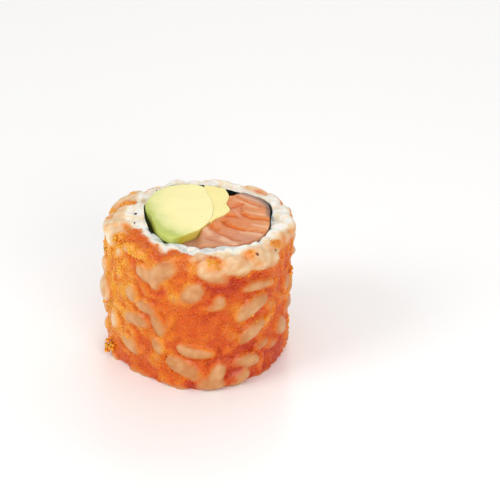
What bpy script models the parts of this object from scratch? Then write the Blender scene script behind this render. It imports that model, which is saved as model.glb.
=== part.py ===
"""One cut piece of an inside-out sushi roll, standing on its lower cut face.

Sushi rice, coated with orange fish roe, is pressed round a wrap of nori. The wrap holds a wedge and
a slice of avocado and a block of flaked salmon, and every layer runs right through the piece.

The origin is the centre of the lower cut face, +Z runs up the roll and -Y is the front.
"""

import math
import random

import bmesh
import bpy
from mathutils import Matrix, Vector

MM = 0.001

# The roll. Its plan is given as radii in mm at even bearings, counted from +X towards +Y.
ROLL_HEIGHT = 33.0 * MM
TOP_RADII = (21.1, 21.6, 21.0, 21.4, 21.6, 20.0, 20.6, 20.9)
FOOT_RADII = (20.0, 20.9, 20.8, 21.2, 22.0, 19.4, 20.9, 19.6)
EDGE_ROUND = 1.9 * MM
CORE_SINK = 0.8 * MM  # how far the packed rice lies under the outermost grains
CORE_SEGMENTS = 40
CORE_LEVELS = (0.3, 0.55, 0.75)  # the core's rings, as shares of the height
EDGE_LEVEL = 0.35  # and of the rounded edges
CUT_DEPTH = 2.0 * MM  # how far rice is modelled past the lower cut, before the knife

# Cooked short-grain rice.
GRAIN_LENGTH = 6.9 * MM
GRAIN_WIDTH = 3.0 * MM
GRAIN_THICKNESS = 2.5 * MM
GRAIN_SPREAD = 0.14  # grains differ by this share in length
GRAIN_BLUNTNESS = 0.68  # 1 gives round ends, and less gives blunter ones
GRAIN_DEPTH = 0.42  # how far a grain's middle lies under the surface, as a share of its thickness
SIDE_SPACING = 4.4 * MM
TOP_SPACING = 3.9 * MM
TOP_MARGIN = 1.7 * MM  # from the upper rim to the middle of the nearest grain on top
TOP_TILT = 0.2
SPOT_TRIES = 6000

# The grains that stand clear of the roe at the front: bearing, height in mm, and lean.
# Bearing and lean are in degrees. Lean is from level, towards the upper left as seen from outside.
BARE_GRAINS = (
    (281, 28, 51), (265, 24, 121), (236, 27, 28), (246, 28, 132), (219, 20, 95), (221, 15, 12),
    (241, 17, 42), (231, 19, 11), (199, 10, 96), (244, 11, 88), (216, 7, 18), (266, 10, 12),
    (258, 6, 45), (266, 4, 23), (305, 20, 155), (312, 24, 5), (306, 12, 155), (302, 6, 14),
    (336, 10, 83), (283, 23, 88), (296, 30, 14), (320, 29, 14), (319, 5, 19), (186, 18, 60),
)

# Roe eggs. The coat has thousands, and those that stand out of it most are kept here.
EGG_DIAMETER = 1.1 * MM
EGG_SPACING = 2.35 * MM
EGG_LIMIT = 68
EGG_SINK = 0.55 * MM  # how far an egg's middle lies under the surface

# The wrap of nori, as radii in mm round its own centre. It narrows towards its foot.
WRAP_CENTRE = Vector((1.8, -0.3)) * MM
WRAP_RADII = (14.6, 15.5, 14.7, 14.8, 17.2, 15.9, 13.9, 14.4, 15.0, 14.4, 16.1, 15.5)
FOOT_CENTRE = Vector((0.7, 0.5)) * MM
FOOT_SCALE = 0.9
NORI_THICKNESS = 0.5 * MM
NORI_STEP = 0.85 * MM  # how far out the sheet's outer end lies over its inner end
NORI_OUTER_END = 10  # bearings in degrees
NORI_OUTER_BACK = 65
NORI_DOWN = 112
NORI_INNER_END = 420
NORI_TURN_STEP = 5
NORI_END_GAP = 14  # the tunnel's bulge starts this many degrees before the bearing 0
NORI_FOOT = 0.4 * MM
NORI_TOP = 33.1 * MM
CLEARANCE = 0.36 * MM  # the gap kept between neighbours

# The fillings: plan points in mm at the upper cut, the hub that the top's rings close on, and the
# height. Points outside the wrap are drawn in to it, where a filling is pressed on the nori.
WEDGE_PLAN = (
    (0.2, 13.4), (1.5, 9.0), (2.6, 4.6), (2.9, 0.2), (2.2, -4.4), (0.5, -8.2), (-1.7, -10.7),
    (-4.2, -12.3), (-9.5, -13.5), (-15.0, -6.0), (-15.0, 5.0), (-13.0, 15.0), (-5.0, 18.0),
)
WEDGE_HUB = (-4.5, 0.6)
WEDGE_TOP = 34.4 * MM
SLICE_PLAN = (
    (1.2, 16.0), (5.2, 16.0), (6.2, 10.1), (5.8, 6.6), (6.6, 3.6), (6.6, 1.2), (4.6, -2.0),
    (3.2, -4.2), (3.4, 0.4), (3.1, 4.8), (2.0, 9.2),
)
SLICE_HUB = (4.4, 4.2)
SLICE_TOP = 34.1 * MM
SALMON_PLAN = (
    (7.4, 11.0), (6.7, 7.2), (7.4, 3.8), (7.2, 0.9), (5.2, -2.5), (3.5, -5.1), (1.3, -8.5),
    (-0.9, -11.3), (-2.4, -13.2), (0.0, -17.0), (9.0, -19.0), (18.0, -12.0), (20.0, 0.0),
    (16.0, 12.0), (10.0, 13.0),
)
SALMON_HUB = (9.0, -3.4)
SALMON_TOP = 33.3 * MM
SALMON_FALL = 0.05  # how much the salmon's cut face slopes down, left of its highest part
SALMON_CREST = 9.0 * MM
FILLING_ROUND = 0.5 * MM
DOME_FALL = 0.0012 * MM  # the avocado's cut face falls by this a square millimetre from the middle

# The partings between the salmon's flakes: a plan point in mm on each, and its slope in degrees.
PARTINGS = (
    ((13.3, 7.3), -50), ((10.6, 3.9), -10), ((11.0, -1.0), -13), ((9.2, -6.4), -33),
    ((5.8, -11.0), -33),
)
PARTING_HALF = 0.8 * MM
PARTING_DEPTH = 1.0 * MM


def around(values, turn):
    """A smooth closed curve through values at even turns, where one whole turn is 1."""
    place = (turn % 1.0) * len(values)
    first = int(place)
    t = place - first
    a, b, c, d = (values[(first + k) % len(values)] for k in (-1, 0, 1, 2))
    bend = (2 * a - 5 * b + 4 * c - d) * t * t + (3 * b - a - 3 * c + d) * t ** 3
    return 0.5 * (2 * b + (c - a) * t + bend)


def smooth(t):
    """0 to 1 with level ends."""
    t = min(max(t, 0.0), 1.0)
    return t * t * (3 - 2 * t)


def roll_radius(bearing, height):
    """The roll's radius at a bearing in degrees, with the upper and lower edges rounded."""
    foot, top = (around(radii, bearing / 360) * MM for radii in (FOOT_RADII, TOP_RADII))
    radius = foot + (top - foot) * smooth(height / ROLL_HEIGHT)
    from_edge = min(height, ROLL_HEIGHT - height)
    if from_edge < EDGE_ROUND:
        short = EDGE_ROUND - max(from_edge, 0.0)
        radius -= EDGE_ROUND - math.sqrt(EDGE_ROUND ** 2 - short ** 2)
    return radius


def on_side(bearing, height, sink=0.0):
    """A point on the roll's side, or the given depth under it."""
    radius = roll_radius(bearing, height) - sink
    angle = math.radians(bearing)
    return Vector((radius * math.cos(angle), radius * math.sin(angle), height))


def girth():
    """The length once round the roll's upper rim."""
    return 2 * math.pi * sum(TOP_RADII) / len(TOP_RADII) * MM


def from_wrap_centre(point):
    """A plan point's distance from the wrap's centre, and the wrap's radius in that direction."""
    offset = point - WRAP_CENTRE
    turn = math.atan2(offset.y, offset.x) / (2 * math.pi)
    return offset.length, around(WRAP_RADII, turn) * MM


def wrap_point(bearing, outwards=0.0):
    """A plan point on the middle of the nori wrap, or the given distance outside it."""
    radius = around(WRAP_RADII, bearing / 360) * MM + outwards
    angle = math.radians(bearing)
    return WRAP_CENTRE + radius * Vector((math.cos(angle), math.sin(angle)))


def inside_wrap(point):
    """The plan point, drawn in where it would touch the nori."""
    distance, radius = from_wrap_centre(point)
    limit = radius - NORI_THICKNESS / 2 - CLEARANCE
    return WRAP_CENTRE + (point - WRAP_CENTRE) * min(1.0, limit / distance)


def at_height(point, height):
    """Where the plan point of the upper cut lies at a height, as all layers narrow downwards."""
    share = height / ROLL_HEIGHT
    scale = FOOT_SCALE + (1 - FOOT_SCALE) * share
    plan = FOOT_CENTRE.lerp(WRAP_CENTRE, share) + (point - WRAP_CENTRE) * scale
    return Vector((plan.x, plan.y, height))


def clear_objects():
    for old in list(bpy.data.objects):
        bpy.data.objects.remove(old)


def finish_material(name, colour, roughness):
    material = bpy.data.materials.new(name)
    material.use_nodes = True
    shader = material.node_tree.nodes["Principled BSDF"]
    shader.inputs["Base Color"].default_value = (*colour, 1.0)
    shader.inputs["Roughness"].default_value = roughness
    material.diffuse_color = (*colour, 1.0)
    return material


def add_object(name, bm, material=None, collection=None):
    bmesh.ops.recalc_face_normals(bm, faces=bm.faces)
    mesh = bpy.data.meshes.new(name)
    bm.to_mesh(mesh)
    bm.free()
    obj = bpy.data.objects.new(name, mesh)
    (collection or bpy.context.scene.collection).objects.link(obj)
    if material:
        mesh.materials.append(material)
    return obj


def loft(rings):
    """A closed solid through rings that hold the same number of points, capped at both ends."""
    bm = bmesh.new()
    loops = []
    for points in rings:
        ring = bmesh.ops.create_circle(bm, segments=len(points), radius=1.0)["verts"]
        for vert, point in zip(ring, points):
            vert.co = point
        loops.append(list({edge for vert in ring for edge in vert.link_edges}))
    for lower, upper in zip(loops, loops[1:]):
        bmesh.ops.bridge_loops(bm, edges=lower + upper)
    for end in (loops[0], loops[-1]):
        bmesh.ops.edgeloop_fill(bm, edges=end)
    return bm


def apply_boolean(obj, operation, other):
    """Joins or cuts obj with an object or with a collection, and removes what did it."""
    modifier = obj.modifiers.new(operation.title(), "BOOLEAN")
    modifier.operation = operation
    modifier.solver = "EXACT"
    if isinstance(other, bpy.types.Collection):
        modifier.operand_type = "COLLECTION"
        modifier.collection = other
        used = list(other.objects)
    else:
        modifier.object = other
        used = [other]
    graph = bpy.context.evaluated_depsgraph_get()
    mesh = bpy.data.meshes.new_from_object(obj.evaluated_get(graph))
    obj.modifiers.clear()
    obj.data = mesh
    for helper in used:
        bpy.data.objects.remove(helper)


def spaced_spots(rng, spacing, low, high, span=None, taken=(), limit=None):
    """Random spots (along, up) on a strip, none nearer to another than the spacing.

    The strip meets itself after its span. Without a span it is a square.
    """
    spots = list(taken)
    for _ in range(SPOT_TRIES):
        spot = (rng.uniform(0, span) if span else rng.uniform(low, high), rng.uniform(low, high))
        for other in spots:
            along = abs(spot[0] - other[0])
            if span:
                along = min(along, span - along)
            if math.hypot(along, spot[1] - other[1]) < spacing:
                break
        else:
            spots.append(spot)
            if limit and len(spots) - len(taken) == limit:
                break
    return spots[len(taken):]


def lying_on(point, outwards, up, lean):
    """A frame whose X runs along a grain that lies flat on a surface, turned by its lean."""
    outwards = outwards.normalized()
    level = up.cross(outwards).normalized()
    upright = outwards.cross(level)
    along = level * math.cos(lean) + upright * math.sin(lean)
    across = outwards.cross(along)
    turn = Matrix((along, across, outwards)).transposed()
    return Matrix.Translation(point) @ turn.to_4x4()


def side_spots(rng):
    """Where the side's grains lie, first the bare ones at the front, and how each one leans."""
    spots = [(bearing / 360 * girth(), height * MM) for bearing, height, _ in BARE_GRAINS]
    leans = [math.radians(180 - lean) for _, _, lean in BARE_GRAINS]
    spread = spaced_spots(rng, SIDE_SPACING, 0.0, ROLL_HEIGHT, girth(), spots)
    return spots + spread, leans + [rng.uniform(0, math.pi) for _ in spread]


def side_places(spots, leans):
    """Frames for the grains on the side, none of which reaches above the upper cut."""
    places = []
    for (along, height), lean in zip(spots, leans):
        reach = 0.5 * (GRAIN_LENGTH * math.sin(lean) + GRAIN_WIDTH * abs(math.cos(lean)))
        height = min(height, ROLL_HEIGHT - reach)
        point = on_side(along / girth() * 360, height, GRAIN_DEPTH * GRAIN_THICKNESS)
        outwards = Vector((point.x, point.y, 0.0))
        places.append(lying_on(point, outwards, Vector((0, 0, 1)), lean))
    return places


def top_places(rng):
    """Frames for the grains on the upper cut face, which don't reach past the rim."""
    reach = max(TOP_RADII) * MM
    places = []
    for x, y in spaced_spots(rng, TOP_SPACING, -reach, reach):
        bearing = math.atan2(y, x)
        rim = roll_radius(math.degrees(bearing), ROLL_HEIGHT - EDGE_ROUND)
        from_rim = rim - math.hypot(x, y)
        distance, radius = from_wrap_centre(Vector((x, y)))
        if distance < radius or from_rim < TOP_MARGIN:
            continue
        swing = math.asin(min(2 * from_rim / GRAIN_LENGTH, 1.0))
        point = Vector((x, y, ROLL_HEIGHT - GRAIN_DEPTH * GRAIN_THICKNESS))
        tilt = Vector((rng.uniform(-TOP_TILT, TOP_TILT), rng.uniform(-TOP_TILT, TOP_TILT), 1.0))
        lean = bearing + rng.uniform(-swing, swing)
        places.append(lying_on(point, tilt, Vector((1, 0, 0)), lean))
    return places


def add_grain(collection, place, rng, number):
    """One grain with blunt ends, wide in the middle and a little flat."""
    bm = bmesh.new()
    bmesh.ops.create_uvsphere(bm, u_segments=5, v_segments=4, radius=1.0)
    bmesh.ops.rotate(bm, verts=bm.verts, matrix=Matrix.Rotation(math.pi / 2, 3, "Y"))
    for vert in bm.verts:
        vert.co.x = math.copysign(abs(vert.co.x) ** GRAIN_BLUNTNESS, vert.co.x)
    length = GRAIN_LENGTH * rng.uniform(1 - GRAIN_SPREAD, 1 + GRAIN_SPREAD)
    half = Vector((length, GRAIN_WIDTH, GRAIN_THICKNESS)) / 2
    bmesh.ops.scale(bm, verts=bm.verts, vec=half)
    bmesh.ops.transform(bm, verts=bm.verts, matrix=place)
    add_object(f"grain_{number}", bm, collection=collection)


def add_eggs(collection, rng, grain_spots):
    """The roe eggs that stand out of the coat, spread over the side between the grains."""
    spots = spaced_spots(rng, EGG_SPACING, 0.0, ROLL_HEIGHT, girth(), grain_spots, EGG_LIMIT)
    for number, (along, height) in enumerate(spots):
        bm = bmesh.new()
        bmesh.ops.create_icosphere(bm, subdivisions=1, radius=EGG_DIAMETER / 2)
        point = on_side(along / girth() * 360, height, EGG_SINK)
        bmesh.ops.translate(bm, verts=bm.verts, vec=point)
        add_object(f"egg_{number}", bm, collection=collection)


def rice_core(material):
    """The packed rice under the grains, carried down past the lower cut."""
    top = ROLL_HEIGHT - CORE_SINK
    heights = [-CUT_DEPTH, 0.0, EDGE_LEVEL * EDGE_ROUND, EDGE_ROUND]
    heights += [ROLL_HEIGHT * share for share in CORE_LEVELS]
    heights += [top - EDGE_ROUND, top - EDGE_LEVEL * EDGE_ROUND, top]
    rings = []
    for height in heights:
        level = min(max(height, 0.0) / top, 1.0) * ROLL_HEIGHT
        ring = []
        for step in range(CORE_SEGMENTS):
            point = on_side(step / CORE_SEGMENTS * 360, level, CORE_SINK)
            ring.append((point.x, point.y, height))
        rings.append(ring)
    return add_object("rice", loft(rings), material)


def nori_lift(bearing):
    """1 where the sheet lies over its own inner end, falling to 0 where it lies single."""
    return 1 - smooth((bearing - NORI_OUTER_BACK) / (NORI_DOWN - NORI_OUTER_BACK))


def tunnel_cutter():
    """The hole that the wrap fills, with the bulge where the nori lies double."""
    rings = []
    for height in (-2 * CUT_DEPTH, ROLL_HEIGHT + 2 * CUT_DEPTH):
        ring = []
        for bearing in range(0, 360, NORI_TURN_STEP):
            before = bearing - 360 if bearing > 180 else bearing
            bulge = nori_lift(max(before, 0)) * smooth(before / NORI_END_GAP + 1)
            out = NORI_THICKNESS / 2 + CLEARANCE + NORI_STEP * bulge
            ring.append(at_height(wrap_point(bearing, out), height))
        rings.append(ring)
    return add_object("tunnel_cutter", loft(rings))


def floor_cutter():
    """The knife's cut that leaves the lower face flat."""
    span = 4 * max(TOP_RADII) * MM
    bm = bmesh.new()
    bmesh.ops.create_cube(bm, size=1.0)
    bmesh.ops.scale(bm, verts=bm.verts, vec=(span, span, 4 * CUT_DEPTH))
    bmesh.ops.translate(bm, verts=bm.verts, vec=(0, 0, -2 * CUT_DEPTH))
    return add_object("floor_cutter", bm)


def keep_largest_shell(obj):
    """Drops loose scraps, and the walls of any hollow that the joined grains seal."""
    bm = bmesh.new()
    bm.from_mesh(obj.data)
    waiting = set(bm.verts)
    shells = []
    while waiting:
        shell = [waiting.pop()]
        for vert in shell:
            near = {edge.other_vert(vert) for edge in vert.link_edges} & waiting
            waiting -= near
            shell += near
        shells.append(shell)
    shells.sort(key=len)
    loose = [vert for shell in shells[:-1] for vert in shell]
    bmesh.ops.delete(bm, geom=loose, context="VERTS")
    bmesh.ops.triangulate(bm, faces=bm.faces)
    bm.to_mesh(obj.data)
    bm.free()


def build_rice(material):
    rng = random.Random(11)
    rice = rice_core(material)
    pieces = bpy.data.collections.new("grains and eggs")
    spots, leans = side_spots(rng)
    for number, place in enumerate(side_places(spots, leans) + top_places(rng)):
        add_grain(pieces, place, rng, number)
    add_eggs(pieces, rng, spots)
    apply_boolean(rice, "UNION", pieces)
    bpy.data.collections.remove(pieces)
    apply_boolean(rice, "DIFFERENCE", tunnel_cutter())
    apply_boolean(rice, "DIFFERENCE", floor_cutter())
    keep_largest_shell(rice)


def build_nori(material):
    """A sheet wound once round the fillings, whose outer end laps over its inner end."""
    rings = []
    for height in (NORI_FOOT, NORI_TOP):
        walls = []
        for side in (-1, 1):
            wall = []
            for bearing in range(NORI_OUTER_END, NORI_INNER_END + 1, NORI_TURN_STEP):
                lift = nori_lift(bearing)
                out = NORI_STEP * lift + side * NORI_THICKNESS / 2
                wall.append(at_height(wrap_point(bearing, out), height))
            walls.append(wall)
        rings.append(walls[0] + walls[1][::-1])
    bm = loft(rings)
    bmesh.ops.triangulate(bm, faces=bm.faces)
    add_object("nori", bm, material)


def plan_loop(points, segments):
    """A smooth closed loop through plan points in mm, as vectors in metres within the wrap."""
    xs, ys = ([point[axis] for point in points] for axis in (0, 1))
    turns = [step / segments for step in range(segments)]
    return [inside_wrap(Vector((around(xs, turn), around(ys, turn))) * MM) for turn in turns]


def cut_partings(bm):
    """Cuts the salmon on both sides of every parting and along it."""
    for point, slope in PARTINGS:
        angle = math.radians(slope + 90)
        across = Vector((math.cos(angle), math.sin(angle), 0.0))
        for offset in (-PARTING_HALF, 0.0, PARTING_HALF):
            place = Vector((*point, 0.0)) * MM + across * offset
            parts = list(bm.verts) + list(bm.edges) + list(bm.faces)
            bmesh.ops.bisect_plane(bm, geom=parts, plane_co=place, plane_no=across)


def build_filling(name, material, plan, hub, top, relief, segments, shares, cut=None):
    """A filling that runs through the roll: flat at the foot, with relief on its upper cut face."""
    loop = plan_loop(plan, segments)
    hub = Vector(hub) * MM
    rings = [[at_height(point, 0.0) for point in loop]]
    rings.append([at_height(point, top - FILLING_ROUND) for point in loop])
    for share in shares:
        rings.append([at_height(hub + (point - hub) * share, top) for point in loop])
    bm = loft(rings)
    if cut:
        cut(bm)
    for vert in bm.verts:
        if vert.co.z > ROLL_HEIGHT / 2:
            vert.co.z -= relief(vert.co.xy)
    bmesh.ops.triangulate(bm, faces=bm.faces)
    add_object(name, bm, material)


def soft_dome(point):
    """How far the avocado's cut face falls away from its middle."""
    return DOME_FALL * (point.length / MM) ** 2


def flakes(point):
    """How far the salmon's cut face lies under its top, at its slope and in its partings."""
    fall = SALMON_FALL * max(SALMON_CREST - point.x, 0.0)
    for place, slope in PARTINGS:
        angle = math.radians(slope + 90)
        across = Vector((math.cos(angle), math.sin(angle)))
        away = abs((point - Vector(place) * MM).dot(across))
        fall += PARTING_DEPTH * max(1 - away / PARTING_HALF, 0.0)
    return fall


def main():
    clear_objects()
    rice = finish_material("sushi rice with roe", (0.86, 0.56, 0.33), 0.45)
    nori = finish_material("nori", (0.012, 0.02, 0.012), 0.5)
    avocado = finish_material("avocado flesh", (0.84, 0.82, 0.42), 0.42)
    inner = finish_material("avocado flesh near the stone", (0.9, 0.78, 0.35), 0.42)
    salmon = finish_material("salmon", (0.78, 0.33, 0.17), 0.35)
    build_rice(rice)
    build_nori(nori)
    domed = (0.96, 0.6, 0.25)
    flat = (0.96,)
    build_filling("avocado_wedge", avocado, WEDGE_PLAN, WEDGE_HUB, WEDGE_TOP, soft_dome, 44, domed)
    build_filling("avocado_slice", inner, SLICE_PLAN, SLICE_HUB, SLICE_TOP, soft_dome, 36, domed)
    build_filling(
        "salmon", salmon, SALMON_PLAN, SALMON_HUB, SALMON_TOP, flakes, 56, flat, cut_partings)


main()
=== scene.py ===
import math
import random

import bmesh
import bpy
import numpy as np
from mathutils import Matrix, Vector, noise
from mathutils.bvhtree import BVHTree


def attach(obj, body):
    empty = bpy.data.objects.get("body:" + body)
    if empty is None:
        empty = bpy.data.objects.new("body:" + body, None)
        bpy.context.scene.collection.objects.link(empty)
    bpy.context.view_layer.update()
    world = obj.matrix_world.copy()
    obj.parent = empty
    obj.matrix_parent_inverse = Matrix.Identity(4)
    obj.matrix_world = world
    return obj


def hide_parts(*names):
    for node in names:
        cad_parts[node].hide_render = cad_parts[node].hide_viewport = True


# A cut piece of an inside-out sushi roll: rice and roe round nori, avocado and salmon.
# Pieces are shaped in millimetres, and finishPiece scales them to metres.
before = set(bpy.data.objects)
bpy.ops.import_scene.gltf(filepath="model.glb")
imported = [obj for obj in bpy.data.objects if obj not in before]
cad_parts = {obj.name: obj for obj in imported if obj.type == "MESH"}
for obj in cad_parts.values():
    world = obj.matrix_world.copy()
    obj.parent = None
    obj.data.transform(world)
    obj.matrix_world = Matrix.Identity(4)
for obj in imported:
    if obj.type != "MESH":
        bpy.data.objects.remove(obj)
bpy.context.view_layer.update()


def linearColour(code):
    # "#rrggbb" in sRGB to the linear colour that a shader takes
    parts = [int(code[k:k + 2], 16) / 255 for k in (1, 3, 5)]
    return tuple(p / 12.92 if p <= 0.04045 else ((p + 0.055) / 1.055) ** 2.4 for p in parts) + (1.0,)


def addNode(tree, kind, settings=None, values=None, links=None, stops=None):
    # one node with its properties, socket constants, incoming links and colour stops
    node = tree.nodes.new("ShaderNode" + kind)
    for key, value in (settings or {}).items():
        setattr(node, key, value)
    for key, value in (values or {}).items():
        node.inputs[key].default_value = value
    for key, socket in (links or {}).items():
        tree.links.new(socket, node.inputs[key])
    for number, (place, code) in enumerate(stops or ()):
        ramp = node.color_ramp.elements
        stop = ramp[number] if number < 2 else ramp.new(place)
        stop.position = place
        stop.color = linearColour(code)
    return node


def newMaterial(name, constants):
    # a material whose Principled shader has the given constants, for nodes to be added to
    material = bpy.data.materials.new(name)
    material.use_nodes = True
    tree = material.node_tree
    shader = tree.nodes["Principled BSDF"]
    for key, value in constants.items():
        shader.inputs[key].default_value = value
    coords = addNode(tree, "TexCoord").outputs["Object"]
    return material, tree, shader, coords


def glow(weight, depth, radius):
    # light that sinks in: how much, how deep in mm, and how far red, green and blue go
    return {"Subsurface Weight": weight, "Subsurface Scale": depth / 1000, "Subsurface Radius": radius}


def film(weight, roughness):
    # a wet film on top
    return {"Coat Weight": weight, "Coat Roughness": roughness}


def grainSize(millimetres):
    # the texture scale at which one feature of a pattern has this size
    return 1000 / millimetres


def attributeOf(tree, name):
    return addNode(tree, "Attribute", {"attribute_name": name}).outputs["Fac"]


def noiseAt(tree, coords, millimetres, detail, roughness=0.5):
    return addNode(tree, "TexNoise", {}, {
        "Scale": grainSize(millimetres), "Detail": detail, "Roughness": roughness},
        {"Vector": coords}).outputs["Fac"]


def moved(tree, share, cloud, amount):
    # the share, moved up or down by a noise, by half the amount at most
    shift = addNode(tree, "Math", {"operation": "MULTIPLY_ADD"}, {
        1: amount, 2: -amount / 2}, {0: cloud}).outputs[0]
    return addNode(tree, "Math", {"operation": "ADD", "use_clamp": True}, {}, {
        0: share, 1: shift}).outputs[0]


def rampOf(tree, share, stops):
    return addNode(tree, "ValToRGB", {}, {}, {"Fac": share}, stops).outputs["Color"]


def tinted(tree, colour, tint, share):
    return addNode(tree, "Mix", {"data_type": "RGBA"}, {
        "B": linearColour(tint)}, {"Factor": share, "A": colour}).outputs["Result"]


def dress(tree, shader, colour, relief, strength, depth):
    # gives a shader its colour, and a relief whose depth is in mm
    bump = addNode(tree, "Bump", {}, {
        "Strength": strength, "Distance": depth / 1000}, {"Height": relief})
    tree.links.new(colour, shader.inputs["Base Color"])
    tree.links.new(bump.outputs["Normal"], shader.inputs["Normal"])


def around(values, turn):
    # a smooth closed curve through values at even turns, where one whole turn is 1
    place = (turn % 1.0) * len(values)
    first = int(place)
    t = place - first
    a, b, c, d = (values[(first + k) % len(values)] for k in (-1, 0, 1, 2))
    bend = (2 * a - 5 * b + 4 * c - d) * t * t + (3 * b - a - 3 * c + d) * t ** 3
    return 0.5 * (2 * b + (c - a) * t + bend)


def bounded(t):
    return min(max(t, 0.0), 1.0)


def smooth(t):
    t = bounded(t)
    return t * t * (3 - 2 * t)


def smoothArray(values):
    values = np.clip(values, 0, 1)
    return values * values * (3 - 2 * values)


def mixed(a, b, t):
    return a + (b - a) * t


def direction(bearing):
    angle = math.radians(bearing)
    return Vector((math.cos(angle), math.sin(angle)))


def bumpy(point, size, offset=0.0):
    # smooth noise of about -1 to 1, with lumps of the given size in mm
    return noise.noise(Vector(point).to_3d() / size + Vector((offset, 3.1 * offset, 1.7)))


def loft(rings):
    # a closed solid: a grid whose rows are laid on rings of points and whose ends are filled
    bm = bmesh.new()
    across, up = len(rings[0]), len(rings) - 1
    bmesh.ops.create_grid(bm, x_segments=across, y_segments=up, size=1.0)
    for vert in bm.verts:
        column = round((vert.co.x + 1) / 2 * across) % across
        vert.co = rings[round((vert.co.y + 1) / 2 * up)][column]
    bmesh.ops.remove_doubles(bm, verts=bm.verts, dist=1e-4)
    bmesh.ops.holes_fill(bm, edges=bm.edges, sides=0)
    bmesh.ops.triangulate(bm, faces=[face for face in bm.faces if len(face.verts) > 4])
    bmesh.ops.recalc_face_normals(bm, faces=bm.faces)
    return bm


def linkedObject(name, mesh):
    obj = bpy.data.objects.new(name, mesh)
    bpy.context.scene.collection.objects.link(obj)
    return obj


def newObject(name, bm):
    mesh = bpy.data.meshes.new(name)
    bm.to_mesh(mesh)
    bm.free()
    return linkedObject(name, mesh)


def applyModifier(obj, kind, settings):
    modifier = obj.modifiers.new(kind.title(), kind)
    for key, value in settings.items():
        setattr(modifier, key, value)
    graph = bpy.context.evaluated_depsgraph_get()
    mesh = bpy.data.meshes.new_from_object(obj.evaluated_get(graph))
    obj.modifiers.clear()
    obj.data = mesh


def cutAway(obj, cutter):
    applyModifier(obj, "BOOLEAN", {"operation": "DIFFERENCE", "solver": "MANIFOLD", "object": cutter})
    bpy.data.objects.remove(cutter)


def copies(name, shape, placed):
    # a mesh of one shape at every place: its frame, its half sizes, and its bend a mm
    corners = np.array([vert.co for vert in shape.verts])
    faces = [[vert.index for vert in face.verts] for face in shape.faces]
    shape.free()
    everywhere = []
    for place, half, bend in placed:
        local = corners * np.array(half)
        local[:, 1] += bend * local[:, 0] ** 2
        turn = np.array(place)
        everywhere.append(local @ turn[:3, :3].T + turn[:3, 3])
    shift = len(corners)
    mesh = bpy.data.meshes.new(name)
    mesh.from_pydata(
        np.concatenate(everywhere).tolist(), [],
        [[number * shift + k for k in face] for number in range(len(placed)) for face in faces])
    return mesh


def softened(mesh, values, rounds):
    # values at the mesh's points, averaged over and over with those of the points next to them
    ends = np.empty(len(mesh.edges) * 2, dtype=np.int32)
    mesh.edges.foreach_get("vertices", ends)
    first, second = ends.reshape(-1, 2).T
    size = len(values)
    count = np.bincount(ends, minlength=size)
    for _ in range(rounds):
        total = np.bincount(first, values[second], size) + np.bincount(second, values[first], size)
        values = 0.4 * values + 0.6 * total / count
    return values


def surfaceOf(mesh):
    # the mesh as a tree that rays can be cast at
    return BVHTree.FromPolygons([v.co for v in mesh.vertices], [tuple(p.vertices) for p in mesh.polygons])


def vertexPlaces(mesh):
    places = np.empty(len(mesh.vertices) * 3, dtype=np.float32)
    mesh.vertices.foreach_get("co", places)
    return places.reshape(-1, 3)


def setAttribute(mesh, name, values):
    mesh.attributes.new(name, "FLOAT", "POINT").data.foreach_set("value", np.array(values, dtype=np.float32))


def finishPiece(obj, material, replaced=None, sharpAngle=50):
    # scales the piece to metres and ties it to the frame
    mesh = obj.data
    mesh.transform(Matrix.Scale(0.001, 4))
    mesh.materials.clear()
    mesh.materials.append(material)
    mesh.polygons.foreach_set("use_smooth", [True] * len(mesh.polygons))
    if sharpAngle:
        mesh.set_sharp_from_angle(angle=math.radians(sharpAngle))
    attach(obj, "root")
    if replaced:
        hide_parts(replaced)
    mesh.calc_loop_triangles()
    print(obj.name, len(mesh.loop_triangles), "triangles")


# the roll's form, as in the solids: radii in mm at even bearings from +X towards +Y
roll = {
    "height": 33.0,
    "topRadii": (21.1, 21.6, 21.0, 21.4, 21.6, 20.0, 20.6, 20.9),
    "footRadii": (20.0, 20.9, 20.8, 21.2, 22.0, 19.4, 20.9, 19.6),
    "edgeRound": 1.9,
    "clear": 30,  # a radius well outside it
}
wrap = {
    "centre": Vector((1.8, -0.3)),
    "radii": (13.9, 15.2, 14.7, 14.8, 17.2, 15.9, 13.9, 14.0, 14.5, 14.3, 15.6, 15.0),
    "footCentre": Vector((0.7, 0.5)),
    "footScale": 0.9,  # the wrap narrows towards its foot
}


def rollRadius(bearing, height):
    # the roll's radius, with the upper and lower edges rounded
    foot, top = (around(roll[key], bearing / 360) for key in ("footRadii", "topRadii"))
    radius = mixed(foot, top, smooth(height / roll["height"]))
    fromEdge = min(height, roll["height"] - height)
    if fromEdge < roll["edgeRound"]:
        short = roll["edgeRound"] - max(fromEdge, 0.0)
        radius -= roll["edgeRound"] - math.sqrt(roll["edgeRound"] ** 2 - short ** 2)
    return radius


def outsideRoll(point):
    # how far a point lies outside the roll's form
    x, y, z = point
    bearing = math.degrees(math.atan2(y, x))
    return math.hypot(x, y) - rollRadius(bearing, min(max(z, 0.0), roll["height"]))


def onSide(bearing, height, sink=0.0):
    radius = rollRadius(bearing, height) - sink
    return (direction(bearing) * radius).to_3d() + Vector((0, 0, height))


def girth():
    return 2 * math.pi * sum(roll["topRadii"]) / len(roll["topRadii"])


def wrapPoint(bearing, outwards=0.0):
    return wrap["centre"] + direction(bearing) * (around(wrap["radii"], bearing / 360) + outwards)


def fromWrap(point):
    # the bearing of a plan point from the wrap's centre, and how far it lies outside the wrap
    offset = Vector(point[:2]) - wrap["centre"]
    bearing = math.degrees(math.atan2(offset.y, offset.x)) % 360
    return bearing, offset.length - around(wrap["radii"], bearing / 360)


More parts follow.
